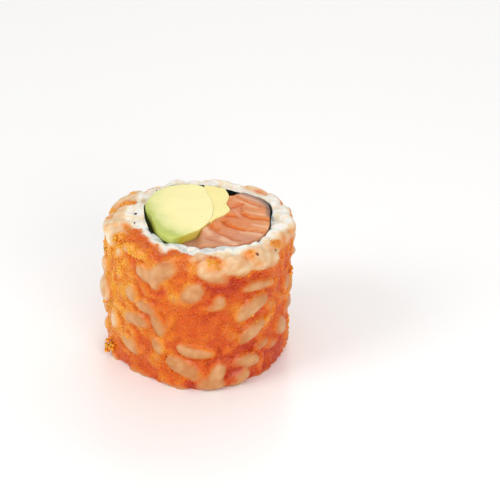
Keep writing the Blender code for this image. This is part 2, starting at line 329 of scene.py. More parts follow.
def atHeight(point, height):
    # where a plan point of the upper cut lies at a height, as all layers narrow downwards
    share = height / roll["height"]
    scale = mixed(wrap["footScale"], 1.0, share)
    plan = wrap["footCentre"].lerp(wrap["centre"], share) + (Vector(point) - wrap["centre"]) * scale
    return Vector((plan.x, plan.y, height))


studio = {
    "camera": (0.011148, -0.35612, 0.206105),
    "tilt": 63,  # degrees up from straight down
    "lens": 128.16, "sensor": 36,
    "sky": ("#ffffff", 0.66),
    "floorSize": 3.0,
    # name: place, aimed at, width, height, watts
    "lamps": {
        "keySoftbox": ((-0.44, -0.22, 0.36), (0, 0, 0.02), 0.3, 0.3, 1.3),
        "backSoftbox": ((0.16, 0.42, 0.42), (0, 0, 0.03), 0.4, 0.25, 0.6),
        "frontFill": ((0.22, -0.5, 0.22), (0, 0, 0.02), 0.35, 0.3, 1.4),
    },
}


def setStudio():
    scene = bpy.context.scene
    scene.view_settings.view_transform = "Standard"
    camera = bpy.data.objects.new("camera", bpy.data.cameras.new("camera"))
    camera.data.lens = studio["lens"]
    camera.data.sensor_width = studio["sensor"]
    camera.location = studio["camera"]
    camera.rotation_euler = (math.radians(studio["tilt"]), 0, 0)
    scene.collection.objects.link(camera)
    scene.camera = camera

    world = bpy.data.worlds.new("studio")
    world.use_nodes = True
    sky = world.node_tree.nodes["Background"]
    sky.inputs["Color"].default_value = linearColour(studio["sky"][0])
    sky.inputs["Strength"].default_value = studio["sky"][1]
    scene.world = world
    for name, (place, aim, width, height, watts) in studio["lamps"].items():
        lamp = bpy.data.lights.new(name, "AREA")
        lamp.shape = "RECTANGLE"
        lamp.size = width
        lamp.size_y = height
        lamp.energy = watts
        holder = bpy.data.objects.new(name, lamp)
        holder.location = place
        holder.rotation_euler = (Vector(aim) - Vector(place)).to_track_quat("-Z", "Y").to_euler()
        scene.collection.objects.link(holder)

    # glossy white table top
    material = newMaterial("white laminate", {
        "Base Color": linearColour("#fdfcfb"), "Roughness": 0.3, "IOR": 1.5})[0]
    bm = bmesh.new()
    bmesh.ops.create_grid(bm, x_segments=1, y_segments=1, size=studio["floorSize"])
    floor = newObject("floor", bm)
    floor.data.materials.append(material)
    print("studio set")


rice = {
    "length": 7.2, "width": 3.5, "thickness": 2.9,
    "spread": 0.14,  # grains differ by this share in length
    "bluntness": 0.84,  # 1 gives round ends, less gives blunter ones
    "bend": 0.035,  # how much a grain curves, a mm
    "dip": 0.09,  # how far one end of a grain sinks, in radians
    "uneven": 0.13,  # dents and swellings, in mm
    "shownLength": 0.84, "shownWidth": 0.7,  # what the roe leaves to see of a grain that stands clear
    "seenFrom": 188, "seenTo": 345,  # the bearings that the photograph shows
    "coreSink": 0.72, "coreDrop": 1.0,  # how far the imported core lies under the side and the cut
    "coreSegments": 96,
    "sideSpacing": 3.0, "topSpacing": 2.6,
    "rimMargin": 1.5,  # between the rim of the upper cut and the middle of a grain
    "topTilt": 0.25,
    "topStretch": 1.08,  # how much longer a grain of topGrains is than its row says
    "bareTop": 0.5,  # how far a bare grain stands over the roll's form
    "sunkTop": -0.38,  # and one that the roe covers
    "sunkSpread": 0.34,
    "bareShare": 0.4,  # of the grains on the sides that the photograph doesn't show
    "voxel": 0.3,
    "soft": 7,  # how often the colours are averaged, as roe thins out over a grain's edge
    "pressed": 0.8,  # what the knife leaves of the relief on the upper cut
}
# grains that stand clear of the roe at the front: bearing, height, lean, length, width, and how
# far a grain stands out where it isn't like the others.
# Lean is in degrees from level, towards the upper left as seen from outside.
bareGrains = (
    (280, 28.7, 48, 8.0, 4.2), (294, 30.6, 25, 6.6, 3.6), (317, 29.2, 13, 8.2, 3.4),
    (234, 26.9, 25, 5.4, 3.3), (248, 29.3, 133, 7.4, 3.5), (241, 25.4, 67, 4.2, 2.5),
    (220, 20.6, 95, 4.4, 3.3), (190, 17.2, 18, 5.5, 3.8, 1.4), (222, 14.4, 174, 8.2, 3.2),
    (235, 18.6, 8, 5.5, 2.8), (243, 15.6, 67, 6.2, 2.8), (243, 9.8, 68, 4.4, 2.7),
    (266, 23.8, 116, 6.6, 3.8), (283, 22.3, 70, 3.8, 2.5), (311, 24.0, 8, 8.4, 2.1),
    (305, 19.3, 155, 8.2, 3.6), (305, 12.9, 153, 7.2, 3.1), (314, 8.5, 164, 4.4, 2.3),
    (337, 9.8, 40, 6.4, 3.6), (301, 6.0, 10, 6.4, 2.8), (268, 9.7, 10, 7.7, 2.5),
    (262.5, 5.6, 34, 8.6, 3.6), (200, 11.2, 84, 4.6, 2.8), (215, 7.2, 19, 6.4, 2.8),
    (281, 4.7, 110, 5.6, 3.1), (277, 1.9, 2, 6.0, 2.7), (188, 22.8, 80, 3.6, 2.4, 0.8),
    (325, 7.0, 2, 5.1, 2.4, 0.1), (196, 30.2, 80, 3.8, 3.2, 0.1), (256, 22.6, 50, 4.2, 3.0, -0.1),
    (239, 5.0, 30, 5.0, 3.0, -0.1), (289, 13.6, 70, 6.4, 3.6, -0.1), (321, 18.2, 60, 5.4, 3.2, -0.1),
    (340, 21.0, 70, 5.6, 3.2, 0.1), (294, 1.8, 170, 6.2, 3.0, 0.1),
)
# grains on the upper cut: from one plan point to the other, and how far they stand up
topGrains = (
    ((-14.1, 7.0), (-12.9, 0.6), 0.8), ((-13.8, -2.2), (-11.7, -6.0), 0.7),
    ((-19.0, 2.0), (-14.6, -0.4), 0.7), ((-19.2, -2.6), (-14.4, -4.0), 0.6),
    ((-13.4, 14.0), (-14.4, 8.4), 0.3), ((-20.0, -5.6), (-19.6, -2.9), 0.25),
    ((-10.9, -7.9), (-7.9, -11.3), 0.1), ((-18.4, 5.2), (-15.0, 2.6), 0.2),
)


def spacedSpots(rng, spacing, width, height, taken=(), tries=9000):
    # random spots on a strip that closes on itself along its width, none nearer than the spacing
    columns = int(width / spacing)
    cells = {}
    spots = []
    for number in range(len(taken) + tries):
        given = number < len(taken)
        x, y = taken[number] if given else (rng.uniform(0, width), rng.uniform(0, height))
        column, row = int(x / width * columns), int(y // spacing)
        near = [spot for c in (-1, 0, 1) for r in (-1, 0, 1)
                for spot in cells.get(((column + c) % columns, row + r), ())]
        if not given:
            gaps = [(min(abs(x - a), width - abs(x - a)), y - b) for a, b in near]
            if any(along * along + up * up < spacing * spacing for along, up in gaps):
                continue
            spots.append((x, y))
        cells.setdefault((column % columns, row), []).append((x, y))
    return spots


def lyingOn(point, outwards, up, lean):
    # a frame whose X runs along a grain that lies flat on a surface, turned by its lean
    outwards = outwards.normalized()
    level = up.cross(outwards).normalized()
    along = level * math.cos(lean) + outwards.cross(level) * math.sin(lean)
    turn = Matrix((along, outwards.cross(along), outwards)).transposed()
    return Matrix.Translation(point) @ turn.to_4x4()


def grainShape():
    # one cooked grain of half size 1: blunt ends and wide in the middle
    bm = bmesh.new()
    bmesh.ops.create_uvsphere(bm, u_segments=14, v_segments=10, radius=1.0)
    bmesh.ops.rotate(bm, verts=bm.verts, matrix=Matrix.Rotation(math.pi / 2, 3, "Y"))
    for vert in bm.verts:
        vert.co.x = math.copysign(abs(vert.co.x) ** rice["bluntness"], vert.co.x)
    return bm


def grainAt(place, length, rng, width=None):
    width = width or rice["width"] * rng.uniform(0.8, 1.1)
    dipped = place @ Matrix.Rotation(rice["dip"] * rng.uniform(-1, 1), 4, "Y")
    return dipped, (length / 2, width / 2, rice["thickness"] / 2), rice["bend"] * rng.uniform(-1, 1)


def sideGrains(rng):
    up = Vector((0, 0, 1))
    grains = []
    bare = [(grain[0] / 360 * girth(), grain[1]) for grain in bareGrains]
    spread = spacedSpots(rng, rice["sideSpacing"], girth(), roll["height"], bare)
    for number, (along, height) in enumerate(bare + spread):
        bearing = along / girth() * 360
        seen = rice["seenFrom"] < bearing < rice["seenTo"]
        if number < len(bare):
            _, _, lean, length, width, *stand = bareGrains[number]
            lean = math.radians(180 - lean)
            length, width = length / rice["shownLength"], width / rice["shownWidth"]
            top = stand[0] if stand else rice["bareTop"] * rng.uniform(0.6, 1.1)
        else:
            lean = rng.uniform(0, math.pi)
            length = rice["length"] * rng.uniform(1 - rice["spread"], 1 + rice["spread"])
            width = None
            top = rice["sunkTop"] + rng.uniform(-1, 1) * rice["sunkSpread"]
            if not seen and rng.random() < rice["bareShare"]:
                top = rice["bareTop"] * rng.uniform(0.2, 1.0)
        reach = 0.5 * (length * math.sin(lean) + rice["width"] * abs(math.cos(lean)))
        height = min(max(height, 0.0), roll["height"] + 0.2 - reach)
        point = onSide(bearing, height, rice["thickness"] / 2 - top)
        outwards = direction(bearing).to_3d() + up * rng.uniform(-0.1, 0.1)
        grains.append(grainAt(lyingOn(point, outwards, up, lean), length, rng, width))
    return grains


def upperGrains(rng):
    grains = []
    low = roll["height"] - rice["thickness"] / 2
    reach = max(roll["topRadii"])
    taken = []
    for start, end, stand in topGrains:
        middle = (Vector(start) + Vector(end)) / 2
        run = Vector(end) - Vector(start)
        taken.append((middle.x + reach, middle.y + reach))
        place = Matrix.Translation((middle.x, middle.y, low + stand / rice["pressed"]))
        place @= Matrix.Rotation(math.atan2(run.y, run.x), 4, "Z")
        grains.append(grainAt(place, run.length * rice["topStretch"], rng))
    for x, y in spacedSpots(rng, rice["topSpacing"], 2 * reach, 2 * reach, taken):
        x, y = x - reach, y - reach
        bearing = math.atan2(y, x)
        fromRim = rollRadius(math.degrees(bearing), roll["height"] - roll["edgeRound"]) - math.hypot(x, y)
        if fromRim < rice["rimMargin"] or fromWrap((x, y))[1] < -rice["rimMargin"]:
            continue
        swing = math.asin(min(2 * fromRim / rice["length"], 1.0))
        slope = rice["topTilt"]
        tilt = Vector((rng.uniform(-slope, slope), rng.uniform(-slope, slope), 1.0))
        point = Vector((x, y, low + rng.uniform(-0.5, 0.4)))
        lean = bearing + rng.uniform(-swing, swing)
        length = rice["length"] * rng.uniform(1 - rice["spread"], 1)
        grains.append(grainAt(lyingOn(point, tilt, Vector((1, 0, 0)), lean), length, rng))
    return grains


def riceCore():
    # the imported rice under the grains, carried down past the lower cut
    top = roll["height"] - rice["coreDrop"]
    heights = [-2.0, 0.0, 0.3, 0.8, 1.9]
    heights += [top * share for share in (0.15, 0.25, 0.35, 0.45, 0.55, 0.65, 0.75, 0.85)]
    heights += [top - drop for drop in (1.9, 1.1, 0.5, 0.15, 0.0)]
    rings = []
    for height in heights:
        level = min(max(height, 0.0) / top, 1.0) * roll["height"]
        steps = range(rice["coreSegments"])
        ring = [onSide(step / len(steps) * 360, level, rice["coreSink"]) for step in steps]
        rings.append([(point.x, point.y, height) for point in ring])
    return loft(rings)


def tunnelCutter():
    # the hole that the wrap fills, with the bulge where the nori lies double
    rings = []
    for height in (-4.0, roll["height"] + 4.0):
        ring = []
        for bearing in range(0, 360, 3):
            bulge = noriLift(bearing) * smooth((bearing - nori["outerEnd"]) / 6 + 1)
            ring.append(atHeight(wrapPoint(bearing, nori["room"] + nori["step"] * bulge), height))
        rings.append(ring)
    return newObject("tunnelCutter", loft(rings))


def floorCutter():
    bm = bmesh.new()
    bmesh.ops.create_cube(bm, size=1.0)
    bmesh.ops.scale(bm, verts=bm.verts, vec=(90, 90, 8))
    bmesh.ops.translate(bm, verts=bm.verts, vec=(0, 0, -4))
    return newObject("floorCutter", bm)


# white rice next to the nori on the upper cut, in mm, and the share of the rest that roe covers,
# every 30 degrees
upperCut = {
    "whiteBand": (5.5, 5.0, 4.6, 5.0, 4.4, 3.4, 4.8, 2.2, 3.2, 2.4, 1.8, 1.8),
    "roeShare": (0.08, 0.05, 0.05, 0.05, 0.1, 0.25, 0.2, 0.92, 0.9, 0.5, 0.42, 0.34),
}
roe = {
    "diameter": 0.82,
    "spread": 0.18,
    "spacing": 0.66,
    "sideTries": 60000, "topTries": 26000,
    "mashed": -0.2,  # how far the middle of an egg lies over what it sits on, where the coat is
    "loose": 0.02,  # pressed to a paste and where it is loose
    "bareFrom": -0.3,  # how far outside the roll's form the coat begins to thin
    "fade": 0.42,  # and how much farther out it ends
    "eggsFrom": 0.42, "eggsFade": 0.4,  # the coat that has its first eggs, and how much more has them all
    "strayShare": 0.004,  # eggs left on bare rice
    "heaped": 0.28,  # height of the coat's own unevenness
    "foot": 0.45, "rim": 1.3,  # how far from the lower and the upper cut the side's eggs end
    "goldenTo": 0.46,  # the shade up to which eggs are golden
    # eggs that stand out together: bearing, height, reach in mm
    "clumps": ((192, 2.6, 1.7), (188, 26.5, 0.8), (203, 31.5, 0.8), (350, 21.5, 1.0), (188, 13.5, 0.8)),
    "clumpEggs": 14, "clumpWidth": 0.45,  # for a clump of reach 1
    # patches of roe, most on paler rice round the upper edge: x, y, z, radius
    "patches": (
        (-16.6, 7.2, 33, 2.2), (-15.9, 12.6, 33, 0.9), (12.8, 15.0, 33, 0.7), (-4.4, 20.0, 33, 0.6),
        (3.4, -19.9, 31.8, 2.2), (11.0, -17.0, 32.3, 1.6), (14.2, -14.7, 32.5, 0.7),
        (17.2, -10.9, 32.6, 2.0), (17.3, -11.3, 27.6, 0.55), (13.6, -17.2, 29.6, 0.9),
        (20.8, -5.6, 29.8, 1.2), (-13.9, -14.9, 31.5, 2.0)),
}


def cover(point):
    # 0 where the rice of the upper cut is clean, 1 where the coat's colour has reached it
    bearing, outside = fromWrap(point)
    band = around(upperCut["whiteBand"], bearing / 360)
    return smooth((outside - band) / 1.4 + 0.5 + 0.6 * bumpy(point, 2.0))


def patched(point):
    # 1 inside a patch of roe
    return max(smooth(1.5 - math.dist(point, patch[:3]) / patch[3]) for patch in roe["patches"])


def topCoat(point):
    # 1 where roe covers the upper cut
    plan = (point[0], point[1], 0.0)
    share = max(around(upperCut["roeShare"], fromWrap(plan)[0] / 360), 0.0) * cover(plan)
    share = max(share, 0.9 * patched((point[0], point[1], roll["height"])))
    return smooth((bumpy(plan, 1.9, 7.0) + 2.2 * share - 0.8) / 0.8)


def rimShare(point):
    # 1 just under the upper edge at the front right and the left, where rice shows among golden roe
    bearing = math.degrees(math.atan2(point[1], point[0])) % 360
    drop = 28.6 + 0.8 * bumpy(point, 3.0, 9.0)
    turn = max(smooth(1.5 - abs(bearing - 314) / 46), smooth(1.5 - abs(bearing - 190) / 13))
    return smooth((point[2] - drop) / 1.4) * turn


def sideCoat(point, outside):
    # 1 where roe covers the side, falling to 0 where a grain stands clear of it
    clear = roe["bareFrom"] + 0.16 * bumpy(point, 2.2, 5.0) + 0.2 * bumpy(point, 0.8, 6.0)
    coat = 1 - smooth((outside - clear) / roe["fade"])
    patch = patched(point)
    thin = smooth(bumpy(point, 2.4, 9.0) * 1.6 + 0.9 * patch - 0.1)
    return mixed(max(coat, patch), max(coat * thin, 0.8 * patch), rimShare(point))


def looseness(point):
    # 0 where the coat is pressed to a wet paste, 1 where its eggs lie loose
    x, y, z = point
    corner = smooth((z - 20) / 12) * smooth((-13 - x) / 5)
    return smooth(0.8 * bumpy(point, 4.0, 8.0) + 0.1 + 0.4 * corner)


def roeShade(point, outside):
    # 0 is pale gold and 1 is red orange
    x, y, z = point
    # redder towards the foot, partly the roe's own deeper colour and partly painted shade, and redder towards
    # the front; paler at the left, a painted light, and a little at the right
    shade = 0.38 + 0.22 * (1 - z / roll["height"]) + 0.2 * smooth((x + 15) / 24) * smooth(-y / 8)
    shade -= 0.4 * smooth((-13 - x) / 6) * smooth(z / 8) + 0.12 * smooth((x - 14) / 4)
    # patchy, and redder still at the foot, partly painted shade
    shade += 0.34 * bumpy(point, 7.0, 2.0) + 0.24 * bumpy(point, 2.4, 3.0) + 0.2 * smooth((4 - z) / 4)
    # paler where rice lies just under it, and deeper in the folds, a painted shade
    shade += 0.14 * smooth((-0.5 - outside) / 0.25) - 0.26 * smooth((outside + 0.6) / 0.55)
    return bounded(mixed(shade, 0.5 * shade, rimShare(point)))


def riceLook(places):
    # how far juice has stained the rice, how far roe coats it, and the shade of that roe
    looks = []
    for point in places.tolist():
        x, y, z = point
        outside = outsideRoll(point)
        # paler where grains stand out, towards the upper edge and at the left
        stain = 0.9 - 0.25 * smooth((outside + 0.45) / 0.8) - 0.08 * smooth((z - 20) / 11)
        stain -= 0.26 * smooth((-13 - x) / 6)
        stain += 0.18 * bumpy(point, 3.0) + 0.14 * bumpy(point, 0.9, 2.0)
        rim = 0.14 + 0.24 * smooth((x + 6) / 14) + 0.12 * bumpy(point, 2.0)
        stain = mixed(stain, rim, rimShare((x, y, z + 1.0)))
        coat = sideCoat(point, outside)
        inside = smooth((-1.6 - outside) / 0.8)
        stain, coat = mixed(stain, 0.06, inside), coat * (1 - inside)
        onTop = smooth((z - roll["height"] + 1.6) / 1.2)
        # glassy and grey in a band by the nori at the front: partly the rice's own glassy grey, partly
        # painted shade by the nori
        grey = smooth((-y - 4) / 5) * smooth((2.6 - fromWrap(point)[1]) / 1.6) * smooth((10 - x) / 5)
        stain = mixed(stain, 0.11 + 0.2 * cover(point[:2]) - 0.13 * grey, onTop)
        coat = mixed(coat, topCoat(point), onTop)
        looks.append((bounded(stain), coat, roeShade(point, outside)))
    return np.array(looks).T


def roeColour(tree):
    # from pale gold to red orange
    return rampOf(tree, attributeOf(tree, "shade"), (
        (0.0, "#f0a232"), (1.0, "#ba3404"), (0.35, "#e0760c"), (0.68, "#d45604")))


def riceMaterial():
    # cooked short-grain rice: white, moist, and faintly see-through, so light softens in it.
    # Roe and its juice stain it, and fill the gaps between the grains.
    material, tree, shader, coords = newMaterial("moist cooked rice", {
        "Roughness": 0.36, "IOR": 1.42, "Specular IOR Level": 0.4,
        **glow(0.4, 1.0, (1.0, 0.5, 0.25)), **film(0.1, 0.2)})
    stain = moved(tree, attributeOf(tree, "stain"), noiseAt(tree, coords, 1.6, 3.0), 0.44)
    # the grey low end, used by the band by the nori at the front, is partly painted shade
    grains = rampOf(tree, stain, (
        (0.0, "#c8c8c2"), (1.0, "#b45c20"), (0.05, "#e8e6df"), (0.1, "#ebe5d9"), (0.2, "#e6d0ac"),
        (0.45, "#d6a472"), (0.7, "#c2844e")))
    coat = attributeOf(tree, "coat")
    colour = addNode(tree, "Mix", {"data_type": "RGBA"}, {}, {
        "Factor": coat, "A": grains, "B": roeColour(tree)}).outputs["Result"]
    # fine starchy relief on the grains, and egg skins pressed together where roe coats them
    skins = addNode(tree, "TexVoronoi", {"feature": "SMOOTH_F1"}, {
        "Scale": grainSize(0.8)}, {"Vector": coords}).outputs["Distance"]
    raised = addNode(tree, "Math", {"operation": "MULTIPLY"}, {1: -1.4}, {0: skins}).outputs[0]
    relief = addNode(tree, "Mix", {}, {}, {
        "Factor": coat, "A": noiseAt(tree, coords, 0.7, 2.0), "B": raised}).outputs["Result"]
    dress(tree, shader, colour, relief, 0.5, 0.1)
    return material


def buildRice():
    rng = random.Random(11)
    bm = riceCore()
    grains = sideGrains(rng) + upperGrains(rng)
    bm.from_mesh(copies("grains", grainShape(), grains))
    print("rice shaped with", len(grains), "grains")
    obj = newObject("rice_packed", bm)
    applyModifier(obj, "REMESH", {"mode": "VOXEL", "voxel_size": rice["voxel"]})
    bm = bmesh.new()
    bm.from_mesh(obj.data)
    for _ in range(2):
        bmesh.ops.smooth_vert(
            bm, verts=bm.verts, factor=0.5, use_axis_x=True, use_axis_y=True, use_axis_z=True)
    low = roll["height"] - 0.2
    for vert in bm.verts:
        vert.co += vert.normal * rice["uneven"] * bumpy(vert.co, 1.4, 4.0)
        if vert.co.z > low:
            vert.co.z = low + (vert.co.z - low) * rice["pressed"]
    bm.to_mesh(obj.data)
    bm.free()
    cutAway(obj, tunnelCutter())
    cutAway(obj, floorCutter())
    for name, values in zip(("stain", "coat", "shade"), riceLook(vertexPlaces(obj.data))):
        setAttribute(obj.data, name, softened(obj.data, values, rice["soft"]))
    return obj


def eggShare(coat):
    # how likely a spot with this much coat is to have an egg
    return smooth((coat - roe["eggsFrom"]) / roe["eggsFade"])


def aimedAtSide(tree, bearing, height):
    # where a level ray towards the axis meets the rice, the face there, and the way out
    way = direction(bearing).to_3d()
    hit, _, face, _ = tree.ray_cast(way * roll["clear"] + Vector((0, 0, height)), -way)
    return hit, face, way


def sideEggs(tree, coats, rng):
    eggs = []
    top = roll["height"] - roe["rim"] - roe["foot"]
    for along, height in spacedSpots(rng, roe["spacing"], girth(), top, tries=roe["sideTries"]):
        hit, face, way = aimedAtSide(tree, along / girth() * 360, height + roe["foot"])
        if not hit:
            continue
        if rng.random() < eggShare(coats[face]) + roe["strayShare"]:
            loose = looseness(hit)
            heap = max(0.0, roe["heaped"] * bumpy(hit, 2.0, 1.0)) * smooth((0.1 - outsideRoll(hit)) / 0.4)
            rest = mixed(roe["mashed"], roe["loose"], loose) + heap * loose
            eggs.append((hit + way * rest, coats[face]))
    for bearing, height, reach in roe["clumps"]:
        for _ in range(int(roe["clumpEggs"] * reach ** 2)):
            turn = bearing + math.degrees(rng.gauss(0, roe["clumpWidth"] * reach) / 21)
            level = height + rng.gauss(0, roe["clumpWidth"] * reach)
            hit, _, way = aimedAtSide(tree, turn, level)
            if hit:
                eggs.append((hit + way * rng.uniform(0.1, 0.8 * reach), 1.0))
    return eggs


def topEggs(tree, coats, rng):
    reach = max(roll["topRadii"])
    eggs = []
    for x, y in spacedSpots(rng, roe["spacing"], 2 * reach, 2 * reach, tries=roe["topTries"]):
        x, y = x - reach, y - reach
        if fromWrap((x, y))[1] < 0.7:
            continue
        hit, normal, face, _ = tree.ray_cast(Vector((x, y, 40)), Vector((0, 0, -1)))
        if hit and hit.z > roll["height"] - roe["rim"] and rng.random() < eggShare(coats[face]):
            rest = mixed(roe["mashed"], roe["loose"], looseness(hit)) + max(0.0, 0.2 * bumpy(hit, 1.5, 1.0))
            eggs.append((hit + normal * rest, coats[face]))
    return eggs


def eggCluster(name, eggs, rng):
    # one small ball, repeated at every egg
    ball = bmesh.new()
    bmesh.ops.create_uvsphere(ball, u_segments=7, v_segments=4, radius=1.0)
    perEgg = len(ball.verts)
    placed = []
    for point, _ in eggs:
        size = roe["diameter"] / 2 * rng.uniform(1 - roe["spread"], 1 + roe["spread"])
        turn = Matrix.Rotation(rng.uniform(0, 3), 4, "X") @ Matrix.Rotation(rng.uniform(0, 3), 4, "Y")
        placed.append((Matrix.Translation(point) @ turn, (size, size, size * 0.9), 0.0))
    mesh = copies(name, ball, placed)
    setAttribute(mesh, "shade", np.repeat([shade for _, shade in eggs], perEgg))
    return linkedObject(name, mesh)


def roeMaterial(name):
    # flying fish roe: wet, glossy skins full of coloured oil that light passes into
    material, tree, shader, _ = newMaterial(name, {
        "Roughness": 0.28, "IOR": 1.38, "Specular IOR Level": 0.35,
        **glow(0.6, 1.0, (1.0, 0.5, 0.2)), **film(0.2, 0.1)})
    tree.links.new(roeColour(tree), shader.inputs["Base Color"])
    return material


def buildRoe(riceObject):
    rng = random.Random(5)
    mesh = riceObject.data
    tree = surfaceOf(mesh)
    coated = np.empty(len(mesh.vertices), dtype=np.float32)
    mesh.attributes["coat"].data.foreach_get("value", coated)
    coats = [float(coated[face.vertices[0]]) for face in mesh.polygons]
    low = roe["diameter"] * (1 + roe["spread"]) / 2
    eggs = []
    for point, coat in sideEggs(tree, coats, rng) + topEggs(tree, coats, rng):
        point.z = max(point.z, low)
        # paler where the coat thins out, as rice shows through
        shade = roeShade(point, outsideRoll(point)) - 0.3 * (1 - coat) + rng.gauss(-0.03, 0.05)
        eggs.append((tuple(point), bounded(shade)))
    # golden and orange eggs are split by shade, which holds painted light at the left and painted shade at
    # the foot and in folds
    golden = [egg for egg in eggs if egg[1] < roe["goldenTo"]]
    deep = [egg for egg in eggs if egg[1] >= roe["goldenTo"]]
    print(len(golden), "golden eggs and", len(deep), "deep orange ones")
    finishPiece(eggCluster("roe_golden", golden, rng), roeMaterial("golden roe"), sharpAngle=0)
    finishPiece(eggCluster("roe_orange", deep, rng), roeMaterial("orange roe"), sharpAngle=0)


nori = {
    "thickness": 0.18,
    "step": 0.24,  # how far out the sheet's outer end lies over its inner end
    "room": 0.17,  # between the middle of the sheet and the rice
    "ripple": 0.06,
    "outerEnd": 10, "outerBack": 65, "down": 112, "innerEnd": 420,  # bearings
    "turnStep": 2.5,
    "levels": (0.2, 8, 16, 24, 29, 31.5, 32.8),
    "behindAvocado": (1.0, 108, 28),  # how much higher the edge stands, the bearing and the reach
    "frontDrop": (0.9, 280, 50),  # and how much lower at the front, where the rice hides it
}


def noriLift(bearing):
    # 1 where the sheet lies over its own inner end, falling to 0 where it lies single
    return 1 - smooth((bearing - nori["outerBack"]) / (nori["down"] - nori["outerBack"]))


def buildNori():
    steps = int((nori["innerEnd"] - nori["outerEnd"]) / nori["turnStep"])
    bearings = [nori["outerEnd"] + step * nori["turnStep"] for step in range(steps + 1)]
    rise, riseAt, riseReach = nori["behindAvocado"]
    drop, dropAt, dropReach = nori["frontDrop"]
    rings = []
    for height in nori["levels"]:
        walls = []
        for side in (-1, 1):
            wall = []
            for bearing in bearings:
                ripple = nori["ripple"] * bumpy((bearing * 0.25, height * 0.5, 0), 2.0)
                out = nori["step"] * noriLift(bearing) + side * nori["thickness"] / 2 + ripple
                place = atHeight(wrapPoint(bearing, out), height)
                if height == nori["levels"][-1]:
                    place.z += rise * smooth(1.6 - abs(bearing - riseAt) / riseReach)
                    place.z -= drop * smooth(1.4 - abs(bearing - dropAt) / dropReach)
                    place.z += 0.2 * bumpy((bearing * 0.25, 0, 4), 1.3)
                wall.append(place)
            walls.append(wall)
        rings.append(walls[0] + walls[1][::-1])
    return newObject("nori_sheet", loft(rings))


def noriMaterial():
    # pressed, toasted seaweed: green black, moist from the rice, faintly wrinkled
    material, tree, shader, coords = newMaterial("toasted nori", {
        "Roughness": 0.6, "IOR": 1.45, "Specular IOR Level": 0.2})
    blotch = noiseAt(tree, coords, 1.4, 4.0, 0.65)
    dress(tree, shader, rampOf(tree, blotch, ((0.3, "#0b0e0a"), (0.75, "#23281b"))), blotch, 0.5, 0.12)
    return material


# dark flecks and specks on the rice, the first nori fleck a painted shadow in a gap between grains: the point
# that each is dropped or pushed towards, and its length
flecks = {
    "nori_and_shade_flecks": ((-14.4, 1.2, 33, 1.3), (-14.3, -3.4, 33, 0.8), (-10.3, 13.8, 33, 0.5)),
    "dark_specks": ((12.7, -16.2, 31.9, 1.0), (17.2, -11.8, 30.4, 0.9), (2.0, -20.4, 7.0, 0.6)),
}


def buildFlecks(name, riceObject):
    # flecks in the colour of nori on the cut, the first of them a painted shadow in a gap between grains, and
    # dark brown specks among the roe
    rng = random.Random(3)
    tree = surfaceOf(riceObject.data)
    bm = bmesh.new()
    for x, y, z, size in flecks[name]:
        way = Vector((0, 0, 1)) if z == roll["height"] else Vector((x, y, 0)).normalized()
        hit, normal, _, _ = tree.ray_cast(Vector((x, y, z)) + way * 8, -way)
        verts = bmesh.ops.create_icosphere(bm, subdivisions=2, radius=0.5)["verts"]
        turn = normal.to_track_quat("Z", "X").to_matrix() @ Matrix.Rotation(rng.uniform(0, 3), 3, "Z")
        for vert in verts:
            local = Vector((vert.co.x * size, vert.co.y * size * 0.6, vert.co.z * 0.22))
            local.xy *= 1 + 0.5 * bumpy(vert.co * 2 + hit, 0.6)
            vert.co = hit + turn @ local
    return newObject(name, bm)


def speckMaterial():
    # dark brown specks, moist
    return newMaterial("dark brown specks", {
        "Base Color": linearColour("#8a4a26"), "Roughness": 0.35, "IOR": 1.4,
        **glow(0.3, 0.6, (1.0, 0.5, 0.2))})[0]


# Plan points at the upper cut, the hub that the rings close on, and the height. Points outside
# the wrap are drawn in to it, where a filling is pressed on the nori.
wedge = {
    "plan": ((0.2, 13.4), (1.52, 9.0), (2.64, 4.6), (2.94, 0.2), (2.2, -4.4), (0.3, -8.2), (-2.3, -10.6),
             (-4.6, -12.2), (-9.5, -13.5), (-15.0, -6.0), (-15.0, 5.0), (-13.0, 15.0), (-5.0, 18.0)),
    "hub": (-4.5, 0.6), "top": 34.4, "segments": 132, "sharpRound": 0.45, "skinRound": 0.6, "slope": 0.0,
    "seam": lambda point: smooth((point.y + 5.4) / 1.2),  # where the slice lies against it
}
innerSlice = {
    "plan": ((0.7, 16.0), (4.8, 15.0), (5.7, 12.6), (6.4, 10.2), (6.4, 8.3), (6.0, 6.5), (6.1, 5.0),
             (6.8, 3.6), (6.7, 1.6), (5.4, -0.5), (3.9, -2.5), (2.4, -4.6), (2.98, 0.3), (2.68, 4.7),
             (1.6, 9.1)),
    "hub": (4.4, 4.2), "top": 34.3, "segments": 120, "sharpRound": 0.5, "skinRound": 0.5, "slope": 0.16,
    "seam": lambda point: smooth((3.7 - point.x) / 0.6),
}
press = {
    "gap": 0.08,  # between a filling and the nori's inner wall
    "touch": 0.02,  # between two fillings
    "slack": 1.0, "slackBearing": 194, "slackReach": 20,  # the nori hangs free of the avocado here
}


def insideWrap(point):
    bearing, outside = fromWrap(point)
    free = smooth(1.4 - abs(bearing - press["slackBearing"]) / press["slackReach"])
    limit = -nori["thickness"] / 2 - press["gap"] - press["slack"] * free
    if outside <= limit:
        return Vector(point)
    return wrapPoint(bearing, limit)


def planLoop(piece):
    xs, ys = ([point[axis] for point in piece["plan"]] for axis in (0, 1))
    turns = [step / piece["segments"] for step in range(piece["segments"])]
    return [insideWrap((around(xs, turn), around(ys, turn))) for turn in turns]


def pressedOn(loop, other, near):
    # the loop with its points that lie along the other one drawn up to touch it from outside
    drawn = []
    for point in loop:
        feet = []
        for start, end in zip(other, other[1:] + other[:1]):
            run = end - start
            foot = start + run * bounded((point - start).dot(run) / run.length_squared)
            feet.append(((point - foot).length, foot, run))
        distance, foot, run = min(feet, key=lambda found: found[0])
        outwards = Vector((-run.y, run.x)).normalized()  # the loops run clockwise
        drawn.append(foot + outwards * press["touch"] if distance < near else point)
    return drawn


